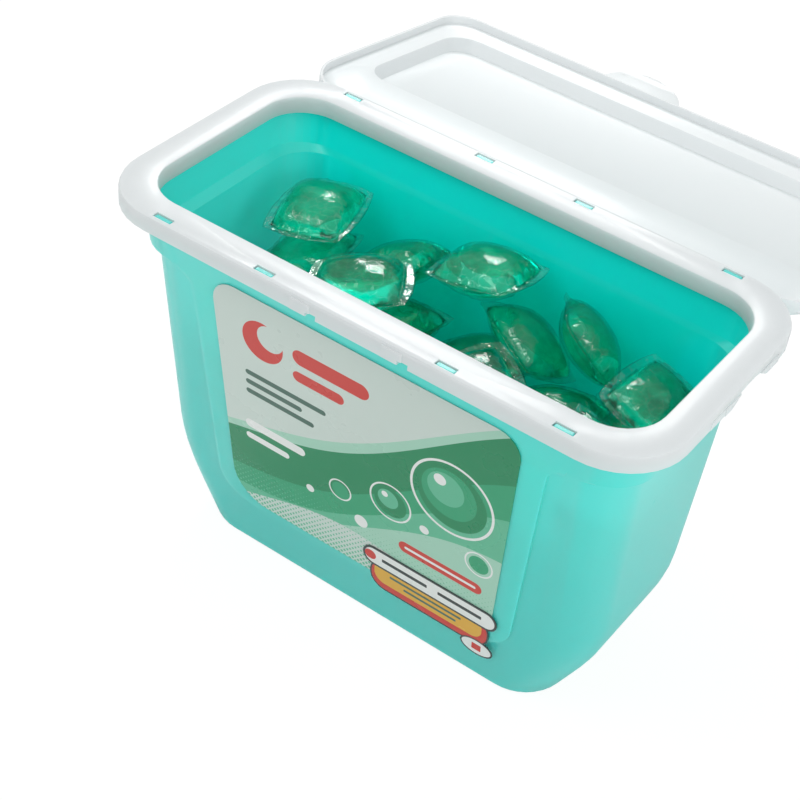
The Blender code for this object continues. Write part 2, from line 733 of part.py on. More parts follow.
class Heap:
    """Drops pods into the tub one by one and lets each slip into the lowest place near it."""

    def __init__(self, shape, chance):
        self.chance = chance
        self.faces = [tuple(face.vertices) for face in shape.polygons]
        grow = Vector((1 + FIT / POD_LENGTH, 1 + FIT / POD_WIDTH, 1 + FIT / POD_THICKNESS))
        self.guard = [vert.co * grow for vert in shape.vertices]
        self.reach = max(corner.length for corner in self.guard)
        self.placed = []

    def inside_tub(self, points):
        """Whether all points stay clear of the walls and the floor."""
        floor = TUB_WALL + FIT
        for point in points:
            if point.z < floor:
                return False
            length, front, back, corner = TubForm.inside(min(point.z, TubForm.body_top))
            over_x = abs(point.x) - (length - FIT - corner)
            over_y = max(point.y - back, -point.y - front) + FIT + corner
            if over_x > corner or over_y > corner:
                return False
            if over_x > 0 and over_y > 0 and math.hypot(over_x, over_y) > corner:
                return False
        return True

    def free(self, pose):
        """Whether a pod fits at a pose."""
        points = [pose @ corner for corner in self.guard]
        if not self.inside_tub(points):
            return False
        centre = pose.translation
        near = [tree for place, tree in self.placed if (place - centre).length < 2 * self.reach]
        if not near:
            return True
        tree = BVHTree.FromPolygons(points, self.faces)
        return not any(tree.overlap(other) for other in near)

    def lower(self, pose):
        """Brings a free pose straight down until the pod touches something."""
        step = POD_STEP
        while step > FIT / 4:
            down = Matrix.Translation((0.0, 0.0, -step)) @ pose
            if self.free(down):
                pose = down
            else:
                step /= 2
        return pose

    def start_height(self, x, y):
        """A height at which nothing placed so far is met."""
        tops = [place.z for place, _ in self.placed if math.hypot(place.x - x, place.y - y) < 2 * self.reach]
        return max(tops, default=0.0) + 2 * self.reach

    def rest(self, x, y, turn):
        """Where a pod comes to rest as it falls at a place and a turn, or None if a wall is met."""
        pose = Matrix.Translation((x, y, self.start_height(x, y))) @ turn.to_matrix().to_4x4()
        return self.lower(pose) if self.free(pose) else None

    def settle(self, pose):
        """Slips a resting pod aside and tips it while that lets it sink."""
        for _ in range(POD_SLIPS):
            slip = [self.chance.gauss(0.0, POD_STEP) for _ in range(2)]
            tip = [self.chance.gauss(0.0, POD_TIP) for _ in range(3)]
            tried = Matrix.Translation((slip[0], slip[1], 0.0)) @ pose @ Euler(tip).to_matrix().to_4x4()
            if self.free(tried):
                tried = self.lower(tried)
                if tried.translation.z < pose.translation.z:
                    pose = tried
        return pose

    def keep(self, pose):
        """Adds a pod at a pose to the heap."""
        tree = BVHTree.FromPolygons([pose @ corner for corner in self.guard], self.faces)
        self.placed.append((pose.translation.copy(), tree))

    def drop(self, middle, reach):
        """Drops a pod at a few chance places around a middle and keeps the one that ends lowest."""
        poses = []
        while len(poses) < POD_TRIES:
            x, y = (centre + self.chance.uniform(-way, way) for centre, way in zip(middle, reach))
            tips = [self.chance.gauss(0.0, POD_TILT) for _ in range(2)]
            pose = self.rest(x, y, Euler((*tips, self.chance.uniform(0.0, math.pi))))
            if pose:
                poses.append(pose)
        pose = self.settle(min(poses, key=lambda rested: rested.translation.z))
        self.keep(pose)
        return pose


def drop_places():
    """Where each pod is dropped: over the whole tub, and last over an even grid of cells."""
    room = Vector((TubForm.body_length(TubForm.body_top) - POD_LENGTH / 2, NECK_HALF_DEPTH - POD_WIDTH / 2))
    places = [((0.0, 0.0), room)] * (POD_COUNT - TOP_COLUMNS * TOP_ROWS)
    cell = Vector((room.x / TOP_COLUMNS, room.y / TOP_ROWS))
    for row in range(TOP_ROWS):
        for column in range(TOP_COLUMNS):
            middle = (cell.x * (2 * column + 1) - room.x, cell.y * (2 * row + 1) - room.y)
            places.append((middle, cell))
    return places


def build_pods(mat):
    """The pods, heaped as they fall."""
    shape = pod_mesh("pod")
    heap = Heap(shape, random.Random(HEAP_SEED))
    for number, (middle, reach) in enumerate(drop_places()):
        pod = add_object("pod_%02d" % (number + 1), shape.copy(), mat)
        pod.matrix_world = heap.drop(middle, reach)


def main():
    """Builds every piece."""
    clear_scene()
    turquoise = material("turquoise_plastic", (0.06, 0.55, 0.50), 0.38)
    white = material("white_plastic", (0.86, 0.88, 0.86), 0.42)
    label = material("label_film", (0.55, 0.68, 0.60), 0.35)
    sticker = material("sticker_film", (0.80, 0.52, 0.12), 0.35)
    gel = material("pod_gel", (0.0, 0.28, 0.18), 0.08)
    build_tub(turquoise)
    build_collar(white)
    build_lid(white)
    build_label(label)
    build_sticker(sticker)
    build_pods(gel)


main()
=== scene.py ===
"""Dresses the laundry pod tub: moulded tub, collar and lid, printed film and a heap of gel sachets."""

import json
import logging
import math
import random
from contextlib import contextmanager
from dataclasses import dataclass, field
from enum import Enum
from typing import Callable, Iterator, Sequence

import bpy
import numpy as np
from mathutils import Matrix, Vector
from mathutils.bvhtree import BVHTree


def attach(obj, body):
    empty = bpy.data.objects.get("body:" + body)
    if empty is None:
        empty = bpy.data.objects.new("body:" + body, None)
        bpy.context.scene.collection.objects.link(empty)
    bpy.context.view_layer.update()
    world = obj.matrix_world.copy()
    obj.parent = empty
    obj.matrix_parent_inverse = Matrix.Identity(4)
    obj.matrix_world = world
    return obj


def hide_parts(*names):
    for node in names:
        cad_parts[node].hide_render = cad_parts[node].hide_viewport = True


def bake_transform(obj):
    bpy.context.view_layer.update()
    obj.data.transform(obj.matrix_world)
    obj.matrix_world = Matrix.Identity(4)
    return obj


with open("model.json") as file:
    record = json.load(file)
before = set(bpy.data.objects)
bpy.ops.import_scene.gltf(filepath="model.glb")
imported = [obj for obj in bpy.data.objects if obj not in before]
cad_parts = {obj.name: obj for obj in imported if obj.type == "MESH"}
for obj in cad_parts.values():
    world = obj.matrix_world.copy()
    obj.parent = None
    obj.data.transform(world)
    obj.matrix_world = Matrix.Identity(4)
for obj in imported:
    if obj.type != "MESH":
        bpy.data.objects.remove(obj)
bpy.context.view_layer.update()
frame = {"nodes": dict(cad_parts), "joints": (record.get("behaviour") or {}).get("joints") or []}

LOG = logging.getLogger("pod_tub")
MM = 0.001
Colour = tuple[float, float, float]


def deselect_all() -> None:
    """Leaves no object selected."""
    bpy.ops.object.select_all(action="DESELECT")


def pick(obj: bpy.types.Object) -> None:
    """Makes one object the only selected and the active one.

    Args:
        obj: The object.
    """
    deselect_all()
    obj.select_set(True)
    bpy.context.view_layer.objects.active = obj


@contextmanager
def editing(obj: bpy.types.Object, mode: str = "VERT") -> Iterator[None]:
    """Opens an object in edit mode with nothing selected.

    Args:
        obj: The mesh object to edit.
        mode: Which elements are selected, VERT, EDGE or FACE.

    Yields:
        Nothing, while the object is open.
    """
    pick(obj)
    bpy.ops.object.mode_set(mode="EDIT")
    bpy.ops.mesh.select_mode(type=mode)
    bpy.ops.mesh.select_all(action="DESELECT")
    yield
    bpy.ops.object.mode_set(mode="OBJECT")


def finish_shading(obj: bpy.types.Object, degrees: float = 35.0) -> None:
    """Smooths a mesh and keeps its edges sharp above an angle."""
    pick(obj)
    bpy.ops.object.shade_smooth_by_angle(angle=math.radians(degrees))


def copy_of_node(node: str, name: str) -> bpy.types.Object:
    """Copies a CAD node into a piece of its own, with its loose triangles merged back into faces.

    Args:
        node: The node's name.
        name: The new piece's name.

    Returns:
        The copy, at the origin and with no parent.
    """
    source = frame["nodes"][node]
    piece = bpy.data.objects.new(name, source.data.copy())
    bpy.context.scene.collection.objects.link(piece)
    piece.data.materials.clear()
    with editing(piece):
        bpy.ops.mesh.customdata_custom_splitnormals_clear()
        bpy.ops.mesh.select_all(action="SELECT")
        bpy.ops.mesh.remove_doubles(threshold=0.002 * MM)
        bpy.ops.mesh.dissolve_limited(angle_limit=math.radians(0.3))
    return piece


def soften_edges(piece: bpy.types.Object, radius: float, sharper_than: float, segments: int = 2) -> None:
    """Rounds the sharp edges of a moulding.

    Args:
        piece: The moulding.
        radius: The width of the rounding, in metres.
        sharper_than: Only edges with a larger angle, in degrees, are rounded.
        segments: Faces across the rounding.
    """
    with editing(piece, "EDGE"):
        bpy.ops.mesh.edges_select_sharp(sharpness=math.radians(sharper_than))
        bpy.ops.mesh.bevel(offset=radius, segments=segments, affect="EDGES", clamp_overlap=True)
        bpy.ops.mesh.select_all(action="SELECT")
        bpy.ops.mesh.quads_convert_to_tris(quad_method="BEAUTY", ngon_method="BEAUTY")


class Nodes:
    """A short hand for building a node tree."""

    def __init__(self, tree: bpy.types.NodeTree) -> None:
        """Keeps the tree that the nodes go into."""
        self.tree = tree

    def add(self, kind: str, **settings: object) -> bpy.types.Node:
        """Adds a node and sets its properties.

        Args:
            kind: The node's type.
            settings: Properties to set on it.

        Returns:
            The node.
        """
        node = self.tree.nodes.new(kind)
        for key, value in settings.items():
            setattr(node, key, value)
        return node

    def link(self, source: bpy.types.NodeSocket, target: bpy.types.NodeSocket) -> None:
        """Joins two sockets."""
        self.tree.links.new(source, target)

    def feed(self, socket: bpy.types.NodeSocket, value: object) -> None:
        """Puts a link or a constant on a socket.

        Args:
            socket: The input.
            value: A socket to join it to, a constant, or None to leave it.
        """
        if isinstance(value, bpy.types.NodeSocket):
            self.link(value, socket)
        elif value is not None:
            socket.default_value = value

    def math(self, operation: str, a: object, b: object = None, c: object = None) -> bpy.types.NodeSocket:
        """A Math node; returns its value.

        Args:
            operation: What to work out.
            a: The first input.
            b: The second.
            c: The third.

        Returns:
            The node's output socket.
        """
        node = self.add("ShaderNodeMath", operation=operation)
        for socket, value in zip(node.inputs, (a, b, c)):
            self.feed(socket, value)
        return node.outputs[0]

    def mix(self, factor: object, a: object, b: object) -> bpy.types.NodeSocket:
        """A colour mix; returns its colour.

        Args:
            factor: 0 for a, 1 for b.
            a: A colour.
            b: Another.

        Returns:
            The node's output socket.
        """
        node = self.add("ShaderNodeMix", data_type="RGBA")
        self.feed(node.inputs["Factor"], factor)
        self.feed(node.inputs[6], a)
        self.feed(node.inputs[7], b)
        return node.outputs[2]

    def noise(self, vector: object, scale: float, detail: float = 2.0, rough: float = 0.5) -> bpy.types.NodeSocket:
        """A noise field; returns its value.

        Args:
            vector: Where to read it.
            scale: How fine it is.
            detail: Its octaves.
            rough: How strong the finer ones are.

        Returns:
            The node's output socket.
        """
        node = self.add("ShaderNodeTexNoise")
        self.feed(node.inputs["Vector"], vector)
        node.inputs["Scale"].default_value = scale
        node.inputs["Detail"].default_value = detail
        node.inputs["Roughness"].default_value = rough
        return node.outputs["Fac"]

    def ramp(self, value: object, low: float, high: float, to_low: float = 0.0, to_high: float = 1.0,
             smooth: bool = True) -> bpy.types.NodeSocket:
        """Maps a range to another; returns the value.

        Args:
            value: What to map.
            low: Start of the range.
            high: Its end.
            to_low: What low becomes.
            to_high: What high becomes.
            smooth: Whether it eases in and out.

        Returns:
            The node's output socket.
        """
        node = self.add("ShaderNodeMapRange", interpolation_type="SMOOTHSTEP" if smooth else "LINEAR")
        self.feed(node.inputs["Value"], value)
        for key, number in zip(("From Min", "From Max", "To Min", "To Max"), (low, high, to_low, to_high)):
            node.inputs[key].default_value = number
        return node.outputs["Result"]


def rgba(colour: Colour) -> tuple[float, float, float, float]:
    """A colour with full alpha."""
    return (*colour, 1.0)


def srgb(red: int, green: int, blue: int) -> Colour:
    """Turns a screen colour into the linear one that a shader takes.

    Args:
        red: 0 to 255.
        green: 0 to 255.
        blue: 0 to 255.

    Returns:
        The linear colour.
    """
    def channel(value: int) -> float:
        """One channel, from 0 to 255, made linear."""
        share = value / 255
        return share / 12.92 if share <= 0.04045 else ((share + 0.055) / 1.055) ** 2.4

    return channel(red), channel(green), channel(blue)


def moulded_surface_group() -> bpy.types.ShaderNodeTree:
    """The surface of injection moulded plastic: faint flow marks, a fine spark-eroded grain and a few rubs.

    Returns:
        A group with inputs Grain and Flow, and outputs Tone, Rub and Height.
    """
    name = "moulded_surface"
    if name in bpy.data.node_groups:
        return bpy.data.node_groups[name]
    tree = bpy.data.node_groups.new(name, "ShaderNodeTree")
    for label, value in (("Grain", 1.0), ("Flow", 1.0)):
        socket = tree.interface.new_socket(label, in_out="INPUT", socket_type="NodeSocketFloat")
        socket.default_value = value
    for label in ("Tone", "Rub", "Height"):
        tree.interface.new_socket(label, in_out="OUTPUT", socket_type="NodeSocketFloat")
    build = Nodes(tree)
    inputs = build.add("NodeGroupInput")
    outputs = build.add("NodeGroupOutput")
    place = build.add("ShaderNodeTexCoord").outputs["Object"]
    flow = build.noise(place, 28.0, 3.0, 0.55)
    clouds = build.noise(place, 9.0, 2.0, 0.5)
    grain = build.noise(place, 2600.0, 2.0, 0.6)
    tone = build.math("MULTIPLY", build.math("SUBTRACT", clouds, 0.5), inputs.outputs["Flow"])
    build.link(build.math("ADD", tone, 0.5), outputs.inputs["Tone"])
    stretch = build.add("ShaderNodeMapping")
    stretch.inputs["Scale"].default_value = (40.0, 300.0, 300.0)
    build.link(place, stretch.inputs["Vector"])
    scuffs = build.ramp(build.noise(stretch.outputs["Vector"], 1.0, 4.0, 0.7), 0.62, 0.78)
    build.link(build.math("MULTIPLY", scuffs, build.ramp(flow, 0.45, 0.65)), outputs.inputs["Rub"])
    fine = build.math("MULTIPLY", grain, inputs.outputs["Grain"])
    build.link(build.math("MULTIPLY_ADD", flow, 0.35, fine), outputs.inputs["Height"])
    return tree


class Gloss(Enum):
    """How a moulding left its tool."""

    SATIN = 0.42
    SEMI = 0.30


@dataclass(frozen=True)
class MouldedFinish:
    """A coloured polypropylene finish.

    Attributes:
        name: The material's name.
        colour: Its linear base colour.
        gloss: How shiny the tool left it.
        shade: The darker colour that flow marks and thin light take.
        glow: How much light scatters inside the wall.
        glow_depth: How far that light travels, in metres.
        painted_glow_colour: A painted colour for the inside of a see-through wall: painted light for the glow
            through the wall, and painted shade where the open lid shades it, if it has one.
    """

    name: str
    colour: Colour
    shade: Colour
    gloss: Gloss
    glow: float
    glow_depth: float
    painted_glow_colour: Colour | None = None

    def material(self) -> bpy.types.Material:
        """Builds the material, or returns it if it is there.

        Returns:
            The material.
        """
        if self.name in bpy.data.materials:
            return bpy.data.materials[self.name]
        mat = bpy.data.materials.new(self.name)
        mat.use_nodes = True
        build = Nodes(mat.node_tree)
        shader = mat.node_tree.nodes["Principled BSDF"]
        surface = build.add("ShaderNodeGroup", node_tree=moulded_surface_group())
        surface.inputs["Grain"].default_value = 0.25
        surface.inputs["Flow"].default_value = 1.6
        colour = build.mix(surface.outputs["Tone"], rgba(self.shade), rgba(self.colour))
        # Painted light and shade: faces in the hollow take a deeper painted colour, for light through the
        # see-through wall and the open lid's shade.
        if self.painted_glow_colour:
            painted_inner_light = build.add("ShaderNodeAttribute", attribute_name="painted_inner_light").outputs["Fac"]
            colour = build.mix(painted_inner_light, colour, rgba(self.painted_glow_colour))
        build.link(colour, shader.inputs["Base Color"])
        rough = self.gloss.value
        rubbed = build.ramp(surface.outputs["Rub"], 0.0, 1.0, rough, rough + 0.16)
        build.link(rubbed, shader.inputs["Roughness"])
        bump = build.add("ShaderNodeBump")
        bump.inputs["Strength"].default_value = 0.12
        bump.inputs["Distance"].default_value = 0.15 * MM
        build.link(surface.outputs["Height"], bump.inputs["Height"])
        build.link(bump.outputs["Normal"], shader.inputs["Normal"])
        shader.inputs["Subsurface Weight"].default_value = self.glow
        shader.inputs["Subsurface Radius"].default_value = (1.0, 1.0, 1.0)
        shader.inputs["Subsurface Scale"].default_value = self.glow_depth
        shader.inputs["Coat Weight"].default_value = 0.15
        shader.inputs["Coat Roughness"].default_value = 0.12
        return mat


# The last colour is painted light and shade for the tub's inside, not a colour of the plastic.
TURQUOISE = MouldedFinish(
    "turquoise_polypropylene", srgb(88, 232, 220), srgb(78, 225, 213), Gloss.SEMI, 0.85, 5.0 * MM,
    srgb(0, 238, 222),
)
WHITE = MouldedFinish(
    "white_polypropylene", srgb(229, 235, 236), srgb(223, 229, 231), Gloss.SATIN, 0.6, 3.0 * MM,
)


# How much of the painted inside colour the end walls and ledges take: less, as painted light through the end walls.
END_WALL_PAINTED_SHARE = 0.35
FLOOR_LEVEL = 5.0 * MM


def paint_inner_light(piece: bpy.types.Object) -> None:
    """Writes how much painted light and shade each face in the piece's own hollow takes, as the attribute
    painted_inner_light.

    The long walls take all of it and are deepest. The ends and the ledges take less and are paler, as painted light
    through the end walls.

    Args:
        piece: The moulding.
    """
    marks = []
    for face in piece.data.polygons:
        inward = -(face.normal.x * face.center.x + face.normal.y * face.center.y)
        inside = inward > 0 or (face.normal.z > 0.9 and face.center.z < FLOOR_LEVEL)
        marks.append(END_WALL_PAINTED_SHARE + (1.0 - END_WALL_PAINTED_SHARE) * face.normal.y ** 2 if inside else 0.0)
    painted_inner_light = piece.data.attributes.new("painted_inner_light", "FLOAT", "FACE")
    painted_inner_light.data.foreach_set("value", marks)


@dataclass
class Moulding:
    """A rigid moulding taken from its CAD node, with its sharp edges rounded.

    Attributes:
        node: The CAD node it stands for.
        body: The CAD body it rides on.
        slot: The record's material slot; not used.
        finish: Its plastic.
        edge_radius: The rounding of its edges, in metres.
        edge_angle: Edges sharper than this, in degrees, are rounded.
    """

    node: str
    body: str
    slot: str
    finish: MouldedFinish
    edge_radius: float
    edge_angle: float = 50.0

    def build(self) -> bpy.types.Object:
        """Makes the moulding, dresses it and sets it on its body.

        Returns:
            The moulding.
        """
        piece = copy_of_node(self.node, self.node + "_moulding")
        soften_edges(piece, self.edge_radius, self.edge_angle)
        # A see-through moulding gets painted light and shade in its hollow.
        if self.finish.painted_glow_colour:
            paint_inner_light(piece)
        finish_shading(piece)
        piece.data.materials.append(self.finish.material())
        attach(piece, self.body)
        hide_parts(self.node)
        LOG.info("%s: %d faces", piece.name, len(piece.data.polygons))
        return piece


@dataclass
class LivingHinge:
    """The film of plastic that joins the collar and the lid.

    Attributes:
        half_length: Half the film's length along the hinge.
        thickness: The film's thickness at its edges.
        overlap: How far the film reaches onto the lips on both sides.
        rows: Cuts through each of the film's faces.
    """

    half_length: float = 90.6 * MM
    thickness: float = 0.5 * MM
    overlap: float = 0.5 * MM
    rows: int = 10

    def build(self, finish: MouldedFinish) -> bpy.types.Object:
        """Makes the film between the two lips.

        Args:
            finish: The plastic of the collar and the lid.

        Returns:
            The film.
        """
        axis = Vector(frame["joints"][0]["pos_m"])
        collar_edge = axis.y - self.overlap
        lid_edge = axis.y + self.overlap
        bpy.ops.mesh.primitive_cube_add(size=1.0)
        film = bpy.context.active_object
        film.name = "hinge_film"
        film.scale = (2 * self.half_length, lid_edge - collar_edge, self.thickness)
        film.location = (0.0, (lid_edge + collar_edge) / 2, axis.z - 0.1 * MM)
        pick(film)
        bpy.ops.object.transform_apply(location=True, rotation=False, scale=True)
        with editing(film):
            bpy.ops.mesh.select_all(action="SELECT")
            bpy.ops.mesh.subdivide(number_cuts=self.rows)
        finish_shading(film)
        film.data.materials.append(finish.material())
        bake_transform(film)
        LOG.info("%s: %d faces", film.name, len(film.data.polygons))
        return film


@dataclass(frozen=True)
class Lamp:
    """A soft square lamp.

    Attributes:
        name: The lamp's name.
        place: Where it hangs.
        aim: The point that it looks at.
        size: Its side, in metres.
        power: Its power, in watts.
    """

    name: str
    place: tuple[float, float, float]
    aim: tuple[float, float, float]
    size: float
    power: float

    def hang(self) -> None:
        """Adds the lamp to the scene."""
        data = bpy.data.lights.new(self.name, "AREA")
        data.size = self.size
        data.energy = self.power
        lamp = bpy.data.objects.new(self.name, data)
        bpy.context.scene.collection.objects.link(lamp)
        lamp.location = self.place
        direction = Vector(self.aim) - Vector(self.place)
        lamp.rotation_euler = direction.to_track_quat("-Z", "Y").to_euler()


LAMPS = (
    Lamp("key", (-0.35, -0.5, 0.95), (0.0, 0.0, 0.1), 0.5, 2.25),
    Lamp("window", (-0.42, 0.74, 0.74), (0.0, 0.0, 0.12), 0.32, 3.5),
    Lamp("side", (0.95, -0.25, 0.45), (0.0, 0.0, 0.1), 0.5, 2.6),
)


@dataclass
class Studio:
    """The camera, the pale floor, the lamps and the white surroundings.

    Attributes:
        lens: Focal length for a 36 mm sensor.
        place: Where the camera stands.
        right: The camera's right in the row frame.
        up: The camera's up in the row frame.
        sky: How bright the surroundings are to everything but the camera.
        shadow_fade: How much of the floor's shadow the white paper hides from the camera.
        paper_white: How bright that paper looks to the camera.
    """

    lens: float = 81.84
    place: Vector = field(default_factory=lambda: Vector((0.24016, -0.41531, 0.33703 + 0.145)))
    right: Vector = field(default_factory=lambda: Vector((0.807787, 0.581867, 0.094397)))
    up: Vector = field(default_factory=lambda: Vector((-0.436755, 0.483238, 0.758766)))
    sky: float = 0.57
    shadow_fade: float = 0.85
    paper_white: float = 1.07

    def camera(self) -> bpy.types.Object:
        """Adds the camera.

        Returns:
            The camera.
        """
        data = bpy.data.cameras.new("camera")
        data.lens = self.lens
        data.sensor_width = 36.0
        data.clip_start = 0.01
        camera = bpy.data.objects.new("camera", data)
        bpy.context.scene.collection.objects.link(camera)
        back = self.right.cross(self.up)
        turn = Matrix((self.right, self.up, back)).transposed().to_4x4()
        camera.matrix_world = Matrix.Translation(self.place) @ turn
        bpy.context.scene.camera = camera
        return camera

    def direct_view(self, build: Nodes) -> bpy.types.NodeSocket:
        """1 for what the camera sees itself or through glass, and 0 for what only lights the scene."""
        path = build.add("ShaderNodeLightPath")
        return build.math("MAXIMUM", path.outputs["Is Camera Ray"], path.outputs["Is Transmission Ray"])

    def floor(self) -> None:
        """Lays the pale floor, which is white to the camera except for the tub's shadow."""
        bpy.ops.mesh.primitive_plane_add(size=6.0, location=(0.0, 0.0, 0.0))
        floor = bpy.context.active_object
        floor.name = "floor"
        mat = bpy.data.materials.new("floor_paper")
        mat.use_nodes = True
        build = Nodes(mat.node_tree)
        shader = mat.node_tree.nodes["Principled BSDF"]
        shader.inputs["Base Color"].default_value = rgba((0.9, 0.9, 0.9))
        shader.inputs["Roughness"].default_value = 0.9
        shader.inputs["Specular IOR Level"].default_value = 0.1
        white = build.add("ShaderNodeEmission")
        white.inputs["Strength"].default_value = self.paper_white
        seen = build.math("MULTIPLY", self.direct_view(build), self.shadow_fade)
        choice = build.add("ShaderNodeMixShader")
        build.link(seen, choice.inputs["Fac"])
        build.link(shader.outputs["BSDF"], choice.inputs[1])
        build.link(white.outputs["Emission"], choice.inputs[2])
        build.link(choice.outputs["Shader"], mat.node_tree.nodes["Material Output"].inputs["Surface"])
        floor.data.materials.append(mat)

    def surroundings(self) -> None:
        """Sets a plain soft sky that is white to the camera."""
        world = bpy.data.worlds.new("surroundings")
        bpy.context.scene.world = world
        world.use_nodes = True
        build = Nodes(world.node_tree)
        plain = world.node_tree.nodes["Background"]
        plain.inputs["Color"].default_value = rgba((1.0, 1.0, 1.0))
        plain.inputs["Strength"].default_value = self.sky
        white = build.add("ShaderNodeBackground")
        white.inputs["Color"].default_value = rgba((1.0, 1.0, 1.0))
        white.inputs["Strength"].default_value = 1.0
        choice = build.add("ShaderNodeMixShader")
        build.link(self.direct_view(build), choice.inputs["Fac"])
        build.link(plain.outputs["Background"], choice.inputs[1])
        build.link(white.outputs["Background"], choice.inputs[2])
        build.link(choice.outputs["Shader"], world.node_tree.nodes["World Output"].inputs["Surface"])

    def build(self) -> None:
        """Sets up the whole studio."""
        self.camera()
        self.floor()
        self.surroundings()
        for lamp in LAMPS:
            lamp.hang()
        bpy.context.scene.view_settings.view_transform = "Standard"


def shape_group(name: str, inputs: Sequence[tuple[str, float]]) -> tuple[bpy.types.ShaderNodeTree, Nodes, list]:
    """Starts a group that turns a place on the print into a mask.

    Args:
        name: The group's name.
        inputs: Names and default values of its inputs, after X and Z.

    Returns:
        The tree, its builder and the sockets of its inputs, X and Z first, in millimetres.
    """
    tree = bpy.data.node_groups.new(name, "ShaderNodeTree")
    for label, value in (("X", 0.0), ("Z", 0.0), *inputs):
        socket = tree.interface.new_socket(label, in_out="INPUT", socket_type="NodeSocketFloat")
        socket.default_value = value
    tree.interface.new_socket("Mask", in_out="OUTPUT", socket_type="NodeSocketFloat")
    build = Nodes(tree)
    start = build.add("NodeGroupInput")
    return tree, build, list(start.outputs)[:len(inputs) + 2]


def bar_group() -> bpy.types.ShaderNodeTree:
    """A bar with round corners, turned about its middle: a mask, 1 inside and 0 outside.

    Returns:
        The group, built once.
    """
    if "mask_bar" in bpy.data.node_groups:
        return bpy.data.node_groups["mask_bar"]
    tree, build, sockets = shape_group("mask_bar", (
        ("Middle X", 0.0), ("Middle Z", 0.0), ("Half X", 5.0), ("Half Z", 1.0), ("Corner", 1.0), ("Turn", 0.0),
    ))
    x, z, middle_x, middle_z, half_x, half_z, corner, turn = sockets
    across = build.math("SUBTRACT", x, middle_x)
    up = build.math("SUBTRACT", z, middle_z)
    cosine = build.math("COSINE", turn)
    sine = build.math("SINE", turn)
    along = build.math("ADD", build.math("MULTIPLY", across, cosine), build.math("MULTIPLY", up, sine))
    over = build.math("SUBTRACT", build.math("MULTIPLY", up, cosine), build.math("MULTIPLY", across, sine))
    past_x = build.math("SUBTRACT", build.math("ABSOLUTE", along), build.math("SUBTRACT", half_x, corner))
    past_z = build.math("SUBTRACT", build.math("ABSOLUTE", over), build.math("SUBTRACT", half_z, corner))
    out_x = build.math("MAXIMUM", past_x, 0.0)
    out_z = build.math("MAXIMUM", past_z, 0.0)
    square = build.math("ADD", build.math("MULTIPLY", out_x, out_x), build.math("MULTIPLY", out_z, out_z))
    inner = build.math("MINIMUM", build.math("MAXIMUM", past_x, past_z), 0.0)
    distance = build.math("SUBTRACT", build.math("ADD", build.math("SQRT", square), inner), corner)
    end = build.add("NodeGroupOutput")
    build.link(build.ramp(distance, 0.05, -0.05, smooth=False), end.inputs["Mask"])
    return tree


def disc_group() -> bpy.types.ShaderNodeTree:
    """A ring or, with no inner radius, a disc: a mask, 1 inside and 0 outside.

    Returns:
        The group, built once.
    """
    if "mask_disc" in bpy.data.node_groups:
        return bpy.data.node_groups["mask_disc"]
    tree, build, sockets = shape_group("mask_disc", (
        ("Middle X", 0.0), ("Middle Z", 0.0), ("Radius", 5.0), ("Hole", -1.0), ("Squash", 1.0),
    ))
    x, z, middle_x, middle_z, radius, hole, squash = sockets
    across = build.math("SUBTRACT", x, middle_x)
    up = build.math("DIVIDE", build.math("SUBTRACT", z, middle_z), squash)
    square = build.math("ADD", build.math("MULTIPLY", across, across), build.math("MULTIPLY", up, up))
    distance = build.math("SQRT", square)
    inside = build.ramp(build.math("SUBTRACT", distance, radius), 0.05, -0.05, smooth=False)
    outside = build.ramp(build.math("SUBTRACT", distance, hole), -0.05, 0.05, smooth=False)
    end = build.add("NodeGroupOutput")
    build.link(build.math("MULTIPLY", inside, outside), end.inputs["Mask"])
    return tree


def wave_group() -> bpy.types.ShaderNodeTree:
    """All that lies under a rolling line: a mask, 1 under it and 0 over it.

    Returns:
        The group, built once.
    """
    if "mask_wave" in bpy.data.node_groups:
        return bpy.data.node_groups["mask_wave"]
    tree, build, sockets = shape_group("mask_wave", (
        ("Level", 0.0), ("Slope", 0.0), ("Swing", 5.0), ("Length", 60.0), ("Shift", 0.0),
    ))
    x, z, level, slope, swing, length, shift = sockets
    phase = build.math("DIVIDE", build.math("MULTIPLY", build.math("SUBTRACT", x, shift), math.tau), length)
    roll = build.math("MULTIPLY", build.math("SINE", phase), swing)
    line = build.math("ADD", build.math("MULTIPLY_ADD", x, slope, level), roll)
    end = build.add("NodeGroupOutput")
    build.link(build.ramp(build.math("SUBTRACT", z, line), 0.05, -0.05, smooth=False), end.inputs["Mask"])
    return tree


def dots_group() -> bpy.types.ShaderNodeTree:
    """A slanting grid of small diamonds that fades out upwards: a mask, 1 on them and 0 between.

    Returns:
        The group, built once.
    """
    if "mask_dots" in bpy.data.node_groups:
        return bpy.data.node_groups["mask_dots"]
    tree, build, sockets = shape_group("mask_dots", (
        ("Pitch", 3.0), ("Size", 0.8), ("Full", 30.0), ("Gone", 60.0), ("Left", -60.0), ("Right", 60.0),
    ))
    x, z, pitch, size, full, gone, left, right = sockets
    sides = []
    for place in (build.math("ADD", x, z), build.math("SUBTRACT", x, z)):
        sides.append(build.math("PINGPONG", place, build.math("DIVIDE", pitch, 2.0)))
    fade = build.add("ShaderNodeMapRange", clamp=True)
    for socket, value in zip(fade.inputs, (z, full, gone, 1.0, 0.0)):
        build.feed(socket, value)
    reach = build.math("MULTIPLY", size, fade.outputs["Result"])
    marks = [build.ramp(build.math("SUBTRACT", side, reach), 0.06, -0.06, smooth=False) for side in sides]
    inside = build.math("MULTIPLY", build.math("GREATER_THAN", x, left), build.math("LESS_THAN", x, right))
    end = build.add("NodeGroupOutput")
    build.link(build.math("MULTIPLY", build.math("MULTIPLY", *marks), inside), end.inputs["Mask"])
    return tree


@dataclass(frozen=True)
class PrintedShape:
    """One flat field of ink on a print.

    Attributes:
        group: Makes the mask's node group.
        colour: The ink.
        values: The mask's inputs after X and Z, in millimetres.
    """

    group: Callable[[], bpy.types.ShaderNodeTree]
    colour: Colour
    values: tuple[float, ...]


